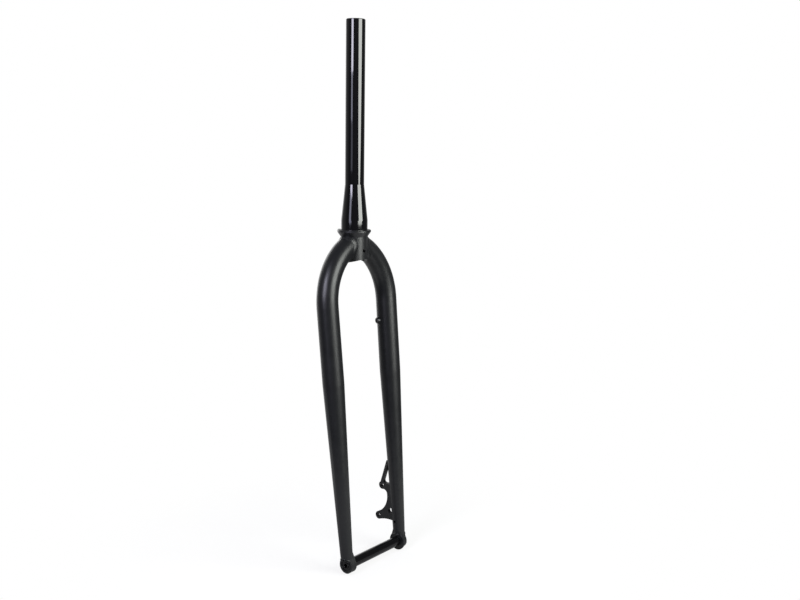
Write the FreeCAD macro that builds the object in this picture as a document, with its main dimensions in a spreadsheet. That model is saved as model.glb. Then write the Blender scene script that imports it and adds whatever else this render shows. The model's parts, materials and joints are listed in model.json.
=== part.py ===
import FreeCAD, Part
import Sketcher
import math
import os

# Rigid steel mountain bike fork: a tapered steerer, two bent and tapered legs mitred onto it,
# round dropouts for a 15 mm axle, and a plate that carries the front disc brake.
# Frame: +Z up the steering axis, origin on that axis at the crown race seat, front at -Y,
# +X to the rider's left, where the brake is. Millimetres and degrees.

doc = FreeCAD.newDocument("fork")
sizes = doc.addObject("Spreadsheet::Sheet", "sizes")

DRIVING = [
    # steerer and crown tube
    ("steerer_length", 300),
    ("steerer_dia", 28.6),
    ("steerer_bore", 25.4),
    ("seat_dia", 39.8),
    ("seat_height", 14),
    ("taper_height", 52),
    ("flange_dia", 50),
    ("flange_thick", 3),
    ("flange_cone", 7),
    ("crown_dia", 40),
    ("crown_bore", 35),
    ("crown_depth", 47.5),
    ("crown_arch", 4.5),
    ("crown_hole_dia", 6),
    ("crown_hole_drop", 30),
    ("edge_break", 0.8),
    # stance of the legs
    ("axle_to_crown", 490),
    ("rake", 45),
    ("leg_root_drop", 19.8),
    ("leg_outset_top", 11.7),
    ("leg_outset_axle", 7.3),
    ("bend_radius", 92),
    # leg tubes
    ("leg_dia", 31.8),
    ("leg_tip_dia", 17.5),
    ("leg_straight", 112),
    ("leg_wall", 1.2),
    ("weld_size", 2.8),
    ("vent_dia", 4),
    ("vent_height", 31),
    # dropouts and axle
    ("hub_width", 110),
    ("dropout_thick", 10.5),
    ("eye_dia", 24),
    ("lip_dia", 28),
    ("lip_thick", 3.5),
    ("neck_height", 22),
    ("neck_width", 9),
    ("plug_height", 30),
    ("braze_gap", 0.1),
    ("axle_dia", 15),
    ("axle_clearance", 0.05),
    ("axle_bore", 9),
    ("head_dia", 17.4),
    ("head_proud", 0.8),
    ("head_clearance", 0.3),
    ("counterbore_depth", 3),
    ("hex_across", 6),
    ("hex_depth", 9),
    ("end_recess", 0.5),
    # disc brake plate
    ("tab_thick", 6),
    ("tab_hole_spacing", 51),
    ("tab_hole_dia", 6.4),
    ("tab_hole_back", 36.6),
    ("tab_hole_up", 33.6),
    ("tab_hole_lean", 7),
    ("tab_ear_dia", 12.4),
    ("tab_waist_radius", 30),
    ("tab_waist_back", 50),
    ("tab_corner_radius", 7),
    ("tab_foot_up", 30.6),
    ("tab_foot_radius", 60),
    ("tab_strut_up", 126),
    ("tab_strut_in", 10.4),
    ("tab_strut_set", 4.7),
    ("tab_strut_width", 4.2),
    ("tab_window_up", 88.8),
    ("tab_window_radius", 3.5),
    ("tab_relief_dia", 9),
    ("tab_relief_up", 46),
    ("tab_relief_back", 9),
    # hose guide boss
    ("boss_drop", 141.5),
    ("boss_turn", 18),
    ("boss_dia", 9.6),
    ("boss_proud", 3.6),
    ("barrel_dia", 6.6),
    ("barrel_depth", 6),
    ("boss_hole_dia", 4.2),
]
for row, (name, value) in enumerate(DRIVING, start=1):
    cell = "A%d" % row
    sizes.set(cell, str(value))
    sizes.setAlias(cell, name)
doc.recompute()

# Sizes that follow from the driving ones.
layout = doc.addObject("Spreadsheet::Sheet", "layout")
FOLLOWING = [
    # height of the axle under the race seat
    ("axle_drop", "sqrt(sizes.axle_to_crown^2 - sizes.rake^2)"),
    # forward lean of the plane that both legs lie in
    ("lean", "atan2(sizes.rake; layout.axle_drop - sizes.leg_root_drop)"),
    # length of that plane from the root of the legs to the axle
    ("reach", "sqrt(sizes.rake^2 + (layout.axle_drop - sizes.leg_root_drop)^2)"),
    # the legs stand a set way outside the ends of the hub
    ("spread_top", "sizes.hub_width + 2 * sizes.leg_outset_top"),
    ("spread_axle", "sizes.hub_width + 2 * sizes.leg_outset_axle"),
    # the bend turns each leg from the straight to the steering axis
    ("bend_angle", "acos(1 - layout.spread_top / (2 * sizes.bend_radius))"),
    ("bend_drop", "sizes.bend_radius * sin(layout.bend_angle)"),
    # the legs close in a little towards the axle
    ("toe", "atan2((layout.spread_top - layout.spread_axle) / 2; layout.reach - layout.bend_drop)"),
    ("leg_length", "(layout.reach - layout.bend_drop) / cos(layout.toe)"),
    # outer face of a dropout
    ("outer_face", "sizes.hub_width / 2 + sizes.dropout_thick"),
    ("axle_length", "2 * layout.outer_face - sizes.end_recess - sizes.counterbore_depth"),
]
for row, (name, formula) in enumerate(FOLLOWING, start=1):
    cell = "A%d" % row
    layout.set(cell, "=" + formula)
    layout.setAlias(cell, name)
    doc.recompute()

LEFT = 1
RIGHT = -1


def number(expression):
    """Value of an expression of the sheets, as a plain number in millimetres or degrees."""
    value = sizes.evalExpression(expression)
    return float(getattr(value, "Value", value))


def fork_plane():
    """Frame of the plane of the legs: X across, Z up the legs, origin at their root."""
    return "placement(vector(0; 0; -sizes.leg_root_drop); rotation(vector(1; 0; 0); -layout.lean))"


def leg_frame(side):
    """Frame of one leg: origin at the foot of its bend, Z up its straight part, X outwards."""
    foot = "placement(vector(%d * layout.spread_top / 2; 0; -layout.bend_drop); " % side
    foot += "rotation(vector(0; 1; 0); %d * layout.toe))" % side
    frame = fork_plane() + " * " + foot
    if side == RIGHT:
        frame += " * placement(vector(0; 0; 0); rotation(vector(0; 0; 1); 180 deg))"
    return frame


def axle_frame(across):
    """Frame at the axle, upright as the fork, at a given place across the fork."""
    return "placement(vector(%s; -sizes.rake; -layout.axle_drop); rotation(vector(1; 0; 0); 0 deg))" % across


def slid(along):
    """Step along the Z of a frame, to join to it."""
    return "placement(vector(0; 0; %s); rotation(vector(0; 0; 1); 0 deg))" % along


def place(item, frame):
    item.setExpression("Placement", frame)


def plane_sketch(body, role, name):
    """New sketch on one of a body's own origin planes."""
    sketch = body.newObject("Sketcher::SketchObject", name)
    plane = [f for f in body.Origin.OriginFeatures if f.Role == role][0]
    sketch.AttachmentSupport = [(plane, "")]
    sketch.MapMode = "FlatFace"
    return sketch


def hold(sketch, kind, *refs):
    """Adds a constraint whose last entry is the expression that sizes it."""
    refs, expression = refs[:-1], refs[-1]
    index = sketch.addConstraint(Sketcher.Constraint(kind, *refs, number(expression)))
    sketch.setExpression("Constraints[%d]" % index, expression)


def pin_point(sketch, geo, end, across, up):
    """Holds a point of a sketch at two expressions; a None keeps it on that axis."""
    if across is None:
        sketch.addConstraint(Sketcher.Constraint("PointOnObject", geo, end, -2))
    else:
        hold(sketch, "DistanceX", -1, 1, geo, end, across)
    if up is None:
        sketch.addConstraint(Sketcher.Constraint("PointOnObject", geo, end, -1))
    else:
        hold(sketch, "DistanceY", -1, 1, geo, end, up)


def polygon(sketch, corners):
    """Closed outline of straight lines through corners given as pairs of expressions."""
    points = []
    for across, up in corners:
        x = 0.0 if across is None else number(across)
        y = 0.0 if up is None else number(up)
        points.append(FreeCAD.Vector(x, y, 0))
    first = len(sketch.Geometry)
    count = len(points)
    for i in range(count):
        sketch.addGeometry(Part.LineSegment(points[i], points[(i + 1) % count]), False)
    for i in range(count):
        after = first + (i + 1) % count
        sketch.addConstraint(Sketcher.Constraint("Coincident", first + i, 2, after, 1))
    for i, (across, up) in enumerate(corners):
        pin_point(sketch, first + i, 1, across, up)


def circle(sketch, across, up, radius):
    """Full circle with its centre and radius given by expressions."""
    x = 0.0 if across is None else number(across)
    y = 0.0 if up is None else number(up)
    round_line = Part.Circle(FreeCAD.Vector(x, y, 0), FreeCAD.Vector(0, 0, 1), number(radius))
    geo = sketch.addGeometry(round_line, False)
    pin_point(sketch, geo, 3, across, up)
    hold(sketch, "Radius", geo, radius)
    return geo


def new_body(name):
    return doc.addObject("PartDesign::Body", name)


def revolve(body, sketch, name, axis=None, angle=None, backwards=False):
    """Turns a sketch about its upright axis, or about one of its own construction lines."""
    turn = body.newObject("PartDesign::Revolution", name)
    turn.Profile = sketch
    turn.ReferenceAxis = (sketch, [axis or "V_Axis"])
    turn.Angle = 360
    if angle:
        turn.setExpression("Angle", angle)
    turn.Reversed = backwards
    doc.recompute()
    return turn


def pad(body, sketch, name, length, backwards=False, both=False):
    item = body.newObject("PartDesign::Pad", name)
    item.Profile = sketch
    item.setExpression("Length", length)
    item.Reversed = backwards
    item.Midplane = both
    doc.recompute()
    return item


def pocket(body, sketch, name, length, backwards=False, both=False):
    """Cuts a sketch into a body, and makes sure that it took something away."""
    before = body.Shape.Volume
    item = body.newObject("PartDesign::Pocket", name)
    item.Profile = sketch
    item.setExpression("Length", length)
    item.Reversed = backwards
    item.Midplane = both
    doc.recompute()
    if body.Shape.Volume > before - 1e-3:
        raise RuntimeError("%s cut nothing" % name)
    return item


def cylinder(name, radius, height, frame):
    item = doc.addObject("Part::Cylinder", name)
    item.setExpression("Radius", radius)
    item.setExpression("Height", height)
    place(item, frame)
    return item


def cut(name, base, tool):
    item = doc.addObject("Part::Cut", name)
    item.Base = base
    item.Tool = tool
    item.Refine = True
    doc.recompute()
    return item


def fuse(name, pieces):
    item = doc.addObject("Part::MultiFuse", name)
    item.Shapes = pieces
    item.Refine = True
    doc.recompute()
    return item


# Steerer: one turned piece, drawn as half of its section.
steerer = new_body("steerer_body")
half = plane_sketch(steerer, "XZ_Plane", "steerer_section")
polygon(half, [
    ("sizes.steerer_dia / 2 - sizes.edge_break", "sizes.steerer_length"),
    ("sizes.steerer_dia / 2", "sizes.steerer_length - sizes.edge_break"),
    ("sizes.steerer_dia / 2", "sizes.seat_height + sizes.taper_height"),
    ("sizes.seat_dia / 2", "sizes.seat_height"),
    ("sizes.seat_dia / 2", None),
    ("sizes.flange_dia / 2 - sizes.edge_break", None),
    ("sizes.flange_dia / 2", "-sizes.edge_break"),
    ("sizes.flange_dia / 2", "-sizes.flange_thick"),
    ("sizes.crown_dia / 2", "-sizes.flange_thick - sizes.flange_cone"),
    ("sizes.crown_dia / 2", "-sizes.crown_depth"),
    ("sizes.crown_bore / 2", "-sizes.crown_depth"),
    ("sizes.crown_bore / 2", "sizes.seat_height - sizes.edge_break"),
    ("sizes.steerer_bore / 2", "sizes.seat_height + sizes.taper_height - sizes.edge_break"),
    ("sizes.steerer_bore / 2", "sizes.steerer_length"),
])
revolve(steerer, half, "steerer_turned")
hole = plane_sketch(steerer, "XZ_Plane", "crown_hole_circle")
circle(hole, None, "-sizes.crown_hole_drop", "sizes.crown_hole_dia / 2")
pocket(steerer, hole, "crown_hole", "2 * sizes.crown_dia", both=True)
# Its lower end is hollowed into an arch from side to side, in line with the inside of the legs.
arch = plane_sketch(steerer, "XZ_Plane", "crown_arch_circle")
arch_radius = "(((sizes.crown_dia / 2 + sizes.edge_break)^2 + sizes.crown_arch^2) / (2 * sizes.crown_arch))"
circle(arch, None, "-sizes.crown_depth + sizes.crown_arch - " + arch_radius, arch_radius)
pocket(steerer, arch, "crown_arch", "2 * sizes.crown_dia", both=True)

# Outside of the steerer below its seat, filled, to mitre the legs against. It is turned a quarter,
# so that its seam lies at the back, clear of both mitres.
crown_fill = cylinder(
    "crown_fill", "sizes.crown_dia / 2", "sizes.crown_depth + sizes.leg_dia",
    "placement(vector(0; 0; -sizes.crown_depth - sizes.leg_dia); rotation(vector(0; 0; 1); 90 deg))")
flange_fill = doc.addObject("Part::Cone", "flange_fill")
flange_fill.setExpression("Radius1", "sizes.crown_dia / 2")
flange_fill.setExpression("Radius2", "sizes.flange_dia / 2")
flange_fill.setExpression("Height", "sizes.flange_cone")
place(flange_fill, slid("-sizes.flange_thick - sizes.flange_cone"))
crown_outside = fuse("crown_outside", [crown_fill, flange_fill])


def leg_solid(name, side, less):
    """Bent and tapered round bar along one leg, thinner all round by the expression less."""
    body = new_body(name)
    ring = plane_sketch(body, "XY_Plane", name + "_ring")
    circle(ring, None, None, "sizes.leg_dia / 2 - " + less)
    reach = number("sizes.bend_radius")
    line = Part.LineSegment(FreeCAD.Vector(-reach, -reach / 2, 0), FreeCAD.Vector(-reach, reach / 2, 0))
    geo = ring.addGeometry(line, True)
    ring.addConstraint(Sketcher.Constraint("Vertical", geo))
    hold(ring, "DistanceX", -1, 1, geo, 1, "-sizes.bend_radius")
    hold(ring, "DistanceY", -1, 1, geo, 1, "-sizes.bend_radius / 2")
    hold(ring, "DistanceY", geo, 1, geo, 2, "sizes.bend_radius")
    revolve(body, ring, name + "_bend", "Axis0", "layout.bend_angle", backwards=True)
    side_view = plane_sketch(body, "XZ_Plane", name + "_half")
    polygon(side_view, [
        (None, None),
        ("sizes.leg_dia / 2 - " + less, None),
        ("sizes.leg_dia / 2 - " + less, "-sizes.leg_straight"),
        ("sizes.leg_tip_dia / 2 - " + less, "-layout.leg_length"),
        (None, "-layout.leg_length"),
    ])
    revolve(body, side_view, name + "_straight")
    place(body, leg_frame(side))
    doc.recompute()
    return body


def plug_cone(name, side):
    """Tapered plug that fits the end of the leg's bore with a brazing gap."""
    run = "(layout.leg_length - sizes.leg_straight)"
    fall = "(sizes.leg_dia - sizes.leg_tip_dia) / 2 / " + run
    tip = "(sizes.leg_tip_dia / 2 - sizes.leg_wall - sizes.braze_gap)"
    item = doc.addObject("Part::Cone", name)
    item.setExpression("Radius1", tip)
    item.setExpression("Radius2", tip + " + sizes.plug_height * " + fall)
    item.setExpression("Height", "sizes.plug_height")
    place(item, leg_frame(side) + " * " + slid("-layout.leg_length"))
    return item


def hub_lip(name):
    """Wider disc at the inner face of the left eye, for the brake side of the hub."""
    body = new_body(name)
    half = plane_sketch(body, "XZ_Plane", name + "_half")
    polygon(half, [
        (None, None),
        ("sizes.lip_dia / 2 - sizes.edge_break", None),
        ("sizes.lip_dia / 2", "sizes.edge_break"),
        ("sizes.lip_dia / 2", "sizes.lip_thick - sizes.edge_break"),
        ("sizes.lip_dia / 2 - sizes.edge_break", "sizes.lip_thick"),
        (None, "sizes.lip_thick"),
    ])
    revolve(body, half, name + "_turned")
    place(body, axle_frame("sizes.hub_width / 2") + " * " + ACROSS)
    return body


def dropout(name, side):
    """Round eye with a tapering neck and a plug for the end of the leg."""
    body = new_body(name + "_plate")
    outline = plane_sketch(body, "YZ_Plane", name + "_outline")
    radius = number("sizes.eye_dia / 2")
    top = number("sizes.neck_height")
    wide = number("sizes.neck_width / 2")
    # the sides of the neck run tangent into the eye, at a place that the solver finds from a guess
    start = FreeCAD.Vector(radius * 0.9, radius * 0.43, 0)
    around = Part.Circle(FreeCAD.Vector(0, 0, 0), FreeCAD.Vector(0, 0, 1), radius)
    first = around.parameter(FreeCAD.Vector(-start.x, start.y, 0))
    last = around.parameter(start)
    arc = outline.addGeometry(Part.ArcOfCircle(around, first, last + 2 * math.pi), False)
    rear_top = FreeCAD.Vector(wide, top, 0)
    fore_top = FreeCAD.Vector(-wide, top, 0)
    rear = outline.addGeometry(Part.LineSegment(start, rear_top), False)
    cap = outline.addGeometry(Part.LineSegment(rear_top, fore_top), False)
    fore = outline.addGeometry(Part.LineSegment(fore_top, FreeCAD.Vector(-start.x, start.y, 0)), False)
    outline.addConstraint(Sketcher.Constraint("Coincident", arc, 3, -1, 1))
    hold(outline, "Radius", arc, "sizes.eye_dia / 2")
    outline.addConstraint(Sketcher.Constraint("Tangent", arc, 2, rear, 1))
    outline.addConstraint(Sketcher.Constraint("Tangent", fore, 2, arc, 1))
    outline.addConstraint(Sketcher.Constraint("Coincident", rear, 2, cap, 1))
    outline.addConstraint(Sketcher.Constraint("Coincident", cap, 2, fore, 1))
    pin_point(outline, cap, 1, "sizes.neck_width / 2", "sizes.neck_height")
    pin_point(outline, cap, 2, "-sizes.neck_width / 2", "sizes.neck_height")
    pad(body, outline, name + "_pad", "sizes.dropout_thick", backwards=side == RIGHT)
    place(body, "placement(vector(%d * sizes.hub_width / 2; -sizes.rake; -layout.axle_drop); "
                "rotation(vector(1; 0; 0); -layout.lean))" % side)
    plug = cut(name + "_plug", plug_cone(name + "_cone", side), eye_fill)
    bore = cylinder(
        name + "_bore", "sizes.axle_dia / 2 + sizes.axle_clearance", "4 * layout.outer_face",
        axle_frame("-2 * layout.outer_face") + " * " + ACROSS)
    if side == LEFT:
        return cut(name, fuse(name + "_whole", [body, plug, hub_lip(name + "_lip")]), bore)
    whole = fuse(name + "_whole", [body, plug])
    seat = cylinder(
        name + "_seat", "sizes.head_dia / 2 + sizes.head_clearance", "sizes.dropout_thick",
        axle_frame("-layout.outer_face + sizes.counterbore_depth - sizes.dropout_thick") + " * " + ACROSS)
    return cut(name, whole, fuse(name + "_holes", [bore, seat]))


# turns a frame so that its Z runs across the fork, towards +X
ACROSS = "placement(vector(0; 0; 0); rotation(vector(0; 1; 0); 90 deg))"
# turns a leg's frame so that its Z runs inwards, to the middle of the fork
INWARDS = "placement(vector(0; 0; 0); rotation(vector(0; 1; 0); -90 deg))"

# The round space of both eyes, right across the fork: the ends of the legs are coped to it.
eye_fill = cylinder(
    "eye_fill", "sizes.eye_dia / 2", "4 * layout.outer_face",
    axle_frame("-2 * layout.outer_face") + " * " + ACROSS)

left_outside = leg_solid("left_leg_outside", LEFT, "0")
left_inside = leg_solid("left_leg_inside", LEFT, "sizes.leg_wall")
right_outside = leg_solid("right_leg_outside", RIGHT, "0")
right_inside = leg_solid("right_leg_inside", RIGHT, "sizes.leg_wall")
left_dropout = dropout("left_dropout", LEFT)
right_dropout = dropout("right_dropout", RIGHT)


def vent(name, side):
    """Small hole through the inner wall of a leg, above its dropout."""
    spot = leg_frame(side) + " * " + slid("-layout.leg_length + sizes.vent_height") + " * " + INWARDS
    return cylinder(name, "sizes.vent_dia / 2", "sizes.leg_dia", spot)


# Hose guide boss: a round head on the inside of the left leg, with a threaded barrel through its wall.
# Its frame has Z out of the leg, turned from straight inwards towards the rear.
boss_along = "(sizes.boss_drop - sizes.leg_root_drop) / cos(layout.lean) - layout.bend_drop"
boss_frame = leg_frame(LEFT) + " * placement(vector(0; 0; -(%s)); " % boss_along
boss_frame += "rotation(vector(0; 0; 1); -sizes.boss_turn)) * " + INWARDS
boss_skin = "sizes.leg_dia / 2"
boss_head = new_body("boss_head_body")
boss_half = plane_sketch(boss_head, "XZ_Plane", "boss_half")
polygon(boss_half, [
    (None, boss_skin + " - sizes.boss_proud"),
    ("sizes.boss_dia / 2", boss_skin + " - sizes.boss_proud"),
    ("sizes.boss_dia / 2", boss_skin + " + sizes.boss_proud - sizes.edge_break"),
    ("sizes.boss_dia / 2 - sizes.edge_break", boss_skin + " + sizes.boss_proud"),
    (None, boss_skin + " + sizes.boss_proud"),
])
revolve(boss_head, boss_half, "boss_turned")
place(boss_head, boss_frame)
barrel = cylinder(
    "boss_barrel", "sizes.barrel_dia / 2", "sizes.barrel_depth + sizes.boss_proud / 2",
    boss_frame + " * " + slid(boss_skin + " - sizes.barrel_depth"))
boss_hole = cylinder(
    "boss_hole", "sizes.boss_hole_dia / 2", "sizes.barrel_depth + 2 * sizes.boss_proud",
    boss_frame + " * " + slid(boss_skin + " - sizes.barrel_depth - sizes.boss_proud / 2"))
boss_seat = cut("boss_seat", boss_head, left_outside)
boss_whole = fuse("boss_whole", [boss_seat, barrel])
hose_guide_boss = cut("hose_guide_boss", boss_whole, boss_hole)

# Legs: hollow tubes, mitred at the crown, coped at the eye and slotted for the neck.
left_tube = cut("left_tube", left_outside, left_inside)
left_tools = fuse("left_tools", [crown_outside, eye_fill, vent("left_vent", LEFT), barrel])
left_trimmed = cut("left_trimmed", left_tube, left_tools)
left_leg = cut("left_leg", left_trimmed, left_dropout)
right_tube = cut("right_tube", right_outside, right_inside)
right_tools = fuse("right_tools", [crown_outside, eye_fill, vent("right_vent", RIGHT)])
right_trimmed = cut("right_trimmed", right_tube, right_tools)
right_leg = cut("right_leg", right_trimmed, right_dropout)


def on_skin(shape, spot):
    """True where a point lies on the outside of a solid."""
    return shape.distToShape(Part.Vertex(spot))[0] < 1e-3 and not shape.isInside(spot, 1e-4, False)


def crown_weld(name, leg):
    """Bead of filler round a mitre: a flat face across the corner between the leg and the crown tube."""
    root = fuse(name + "_root", [crown_fill, leg])
    size = number("sizes.weld_size")
    picked = []
    for index, edge in enumerate(root.Shape.Edges, start=1):
        spots = [edge.valueAt(edge.FirstParameter + (edge.LastParameter - edge.FirstParameter) * part)
                 for part in (0.05, 0.5, 0.95)]
        if all(on_skin(crown_fill.Shape, spot) and on_skin(leg.Shape, spot) for spot in spots):
            picked.append((index, size, size))
    filled = doc.addObject("Part::Chamfer", name + "_filled")
    filled.Base = root
    filled.Edges = picked
    doc.recompute()
    return cut(name, cut(name + "_off_crown", filled, crown_outside), leg)


crown_weld_left = crown_weld("crown_weld_left", left_outside)
crown_weld_right = doc.addObject("Part::Mirroring", "crown_weld_right")
crown_weld_right.Source = crown_weld_left
crown_weld_right.Normal = FreeCAD.Vector(1, 0, 0)
doc.recompute()

# Axle: turned about its own Z, which runs across the fork from the right, then bored and broached.
axle = new_body("axle_body")
section = plane_sketch(axle, "XZ_Plane", "axle_section")
polygon(section, [
    (None, "-sizes.counterbore_depth - sizes.head_proud"),
    ("sizes.head_dia / 2 - sizes.edge_break", "-sizes.counterbore_depth - sizes.head_proud"),
    ("sizes.head_dia / 2", "-sizes.counterbore_depth - sizes.head_proud + sizes.edge_break"),
    ("sizes.head_dia / 2", None),
    ("sizes.axle_dia / 2", None),
    ("sizes.axle_dia / 2", "layout.axle_length - sizes.edge_break"),
    ("sizes.axle_dia / 2 - sizes.edge_break", "layout.axle_length"),
    ("sizes.axle_bore / 2", "layout.axle_length"),
    ("sizes.axle_bore / 2", "sizes.hex_depth - sizes.counterbore_depth - sizes.head_proud"),
    (None, "sizes.hex_depth - sizes.counterbore_depth - sizes.head_proud"),
])
revolve(axle, section, "axle_turned")
socket = plane_sketch(axle, "XY_Plane", "axle_hexagon")
far = "sizes.hex_across / 2 / cos(30 deg)"
polygon(socket, [
    (far, None),
    (far + " / 2", "sizes.hex_across / 2"),
    ("-" + far + " / 2", "sizes.hex_across / 2"),
    ("-" + far, None),
    ("-" + far + " / 2", "-sizes.hex_across / 2"),
    (far + " / 2", "-sizes.hex_across / 2"),
])
pocket(axle, socket, "axle_socket", "4 * sizes.hex_depth", both=True)
place(axle, axle_frame("-layout.outer_face + sizes.counterbore_depth") + " * " + ACROSS)

# Disc brake plate: drawn from the side, back and up from the axle.
tab = new_body("tab_body")
plate = plane_sketch(tab, "YZ_Plane", "tab_outline")
lower = ("sizes.tab_hole_back", "sizes.tab_hole_up")
upper = ("sizes.tab_hole_back - sizes.tab_hole_spacing * sin(sizes.tab_hole_lean * 1 deg)",
         "sizes.tab_hole_up + sizes.tab_hole_spacing * cos(sizes.tab_hole_lean * 1 deg)")


def on_leg(up):
    """Place of the leg's axis behind the axle at a height over it."""
    return "(%s) * tan(layout.lean)" % up


def point(pair):
    return FreeCAD.Vector(number(pair[0]), number(pair[1]), 0)


def touch(start, centre, radius, turn):
    """Point where a line from start touches a circle, on the side that turn gives."""
    way = centre - start
    angle = math.atan2(way.y, way.x) + turn * math.asin(radius / way.Length)
    run = math.sqrt(way.Length ** 2 - radius ** 2)
    return start + FreeCAD.Vector(math.cos(angle), math.sin(angle), 0) * run


def meet(one, one_radius, other, other_radius):
    """Point at two distances from two others, to the right of the way from one to other."""
    way = other - one
    run = (one_radius ** 2 - other_radius ** 2 + way.Length ** 2) / (2 * way.Length)
    off = math.sqrt(one_radius ** 2 - run ** 2)
    return one + (way * run + FreeCAD.Vector(way.y, -way.x, 0) * off) / way.Length


def toward(centre, other, radius):
    """Point of a circle on the line from its centre to another point."""
    way = other - centre
    return centre + way * (radius / way.Length)


def arc_between(sketch, centre, radius, start, end):
    """Arc that runs anticlockwise from start to end."""
    round_line = Part.Circle(centre, FreeCAD.Vector(0, 0, 1), radius)
    first = round_line.parameter(start)
    last = round_line.parameter(end)
    if last < first:
        last += 2 * math.pi
    return sketch.addGeometry(Part.ArcOfCircle(round_line, first, last), False)


def line_between(sketch, start, end):
    return sketch.addGeometry(Part.LineSegment(start, end), False)


# Outline: arched foot, lower ear, hollow waist with a tighter corner above it, upper ear, strut,
# then back down the leg's axis. The solver finds the places where they touch from close first guesses.
ear = number("sizes.tab_ear_dia / 2")
hollow = number("sizes.tab_waist_radius")
bend = number("sizes.tab_corner_radius")
vault = number("sizes.tab_foot_radius")
set_in = number("sizes.tab_strut_set")
low_c = point(lower)
up_c = point(upper)
foot = (on_leg("sizes.tab_foot_up"), "sizes.tab_foot_up")
peak = (on_leg("sizes.tab_strut_up"), "sizes.tab_strut_up")
strut_end = (peak[0] + " + sizes.tab_strut_in", peak[1])
over = number("sizes.tab_waist_back") - low_c.x
hollow_c = low_c + FreeCAD.Vector(over, math.sqrt((ear + hollow) ** 2 - over ** 2), 0)
corner_c = meet(up_c, ear + bend, hollow_c, hollow - bend)
vault_c = meet(point(foot), vault, low_c, vault + ear)
foot_touch = toward(low_c, vault_c, ear)
low_touch = toward(low_c, hollow_c, ear)
corner_touch = toward(hollow_c, corner_c, hollow)
up_touch = toward(up_c, corner_c, ear)
beside = touch(point(strut_end), up_c, set_in, 1)
strut_touch = beside + (point(strut_end) - beside).normalize() * math.sqrt(ear ** 2 - set_in ** 2)

foot_arc = arc_between(plate, vault_c, vault, foot_touch, point(foot))
low_ear = arc_between(plate, low_c, ear, foot_touch, low_touch)
waist = arc_between(plate, hollow_c, hollow, corner_touch, low_touch)
corner_arc = arc_between(plate, corner_c, bend, up_touch, corner_touch)
up_ear = arc_between(plate, up_c, ear, up_touch, strut_touch)
strut = line_between(plate, strut_touch, point(strut_end))
top = line_between(plate, point(strut_end), point(peak))
spine = line_between(plate, point(peak), point(foot))
for one, end, other, start in ((up_ear, 2, strut, 1), (strut, 2, top, 1), (top, 2, spine, 1),
                               (spine, 2, foot_arc, 2)):
    plate.addConstraint(Sketcher.Constraint("Coincident", one, end, other, start))
for one, end, other, start in ((foot_arc, 1, low_ear, 1), (low_ear, 2, waist, 2),
                               (waist, 1, corner_arc, 2), (corner_arc, 1, up_ear, 1)):
    plate.addConstraint(Sketcher.Constraint("Tangent", one, end, other, start))
pin_point(plate, foot_arc, 2, *foot)
pin_point(plate, spine, 1, *peak)
pin_point(plate, top, 1, *strut_end)
pin_point(plate, low_ear, 3, *lower)
pin_point(plate, up_ear, 3, *upper)
hold(plate, "DistanceX", -1, 1, waist, 3, "sizes.tab_waist_back")
hold(plate, "Distance", up_ear, 3, strut, "sizes.tab_strut_set")
hold(plate, "Radius", low_ear, "sizes.tab_ear_dia / 2")
hold(plate, "Radius", up_ear, "sizes.tab_ear_dia / 2")
hold(plate, "Radius", waist, "sizes.tab_waist_radius")
hold(plate, "Radius", corner_arc, "sizes.tab_corner_radius")
hold(plate, "Radius", foot_arc, "sizes.tab_foot_radius")
circle(plate, lower[0], lower[1], "sizes.tab_hole_dia / 2")
circle(plate, upper[0], upper[1], "sizes.tab_hole_dia / 2")
circle(plate, on_leg("sizes.tab_relief_up") + " + sizes.tab_relief_back", "sizes.tab_relief_up",
       "sizes.tab_relief_dia / 2")
# The window lies between the strut and the leg: its rear side keeps the strut's width.
sill = (on_leg("sizes.tab_window_up") + " + sizes.leg_wall", "sizes.tab_window_up")
head_up = "sizes.tab_strut_up - sizes.tab_strut_width"
head = (on_leg(head_up) + " + sizes.leg_wall", head_up)
way = (point(strut_end) - strut_touch).normalize()
inside = point(strut_end) + FreeCAD.Vector(-way.y, way.x, 0) * number("sizes.tab_strut_width")
corner = inside + way * ((point(sill).y - inside.y) / way.y)
head_corner = inside + way * ((point(head).y - inside.y) / way.y)
half_angle = math.acos(-way.x) / 2
radius = number("sizes.tab_window_radius")
sill_touch = corner - FreeCAD.Vector(radius / math.tan(half_angle), 0, 0)
side_touch = corner + way * (radius / math.tan(half_angle))
round_c = sill_touch + FreeCAD.Vector(0, radius, 0)
sill_line = line_between(plate, point(sill), sill_touch)
round_arc = arc_between(plate, round_c, radius, sill_touch, side_touch)
side_line = line_between(plate, side_touch, head_corner)
head_line = line_between(plate, head_corner, point(head))
front_line = line_between(plate, point(head), point(sill))
for one, end, other, start in ((side_line, 2, head_line, 1), (head_line, 2, front_line, 1),
                               (front_line, 2, sill_line, 1)):
    plate.addConstraint(Sketcher.Constraint("Coincident", one, end, other, start))
plate.addConstraint(Sketcher.Constraint("Tangent", sill_line, 2, round_arc, 1))
plate.addConstraint(Sketcher.Constraint("Tangent", round_arc, 2, side_line, 1))
plate.addConstraint(Sketcher.Constraint("Horizontal", sill_line))
plate.addConstraint(Sketcher.Constraint("Horizontal", head_line))
plate.addConstraint(Sketcher.Constraint("Parallel", side_line, strut))
pin_point(plate, sill_line, 1, *sill)
pin_point(plate, front_line, 1, *head)
hold(plate, "Radius", round_arc, "sizes.tab_window_radius")
hold(plate, "Distance", side_line, 1, strut, "sizes.tab_strut_width")
pad(tab, plate, "tab_pad", "sizes.tab_thick")
place(tab, axle_frame("sizes.hub_width / 2"))
disc_brake_tab = cut("disc_brake_tab", tab, left_outside)

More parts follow.
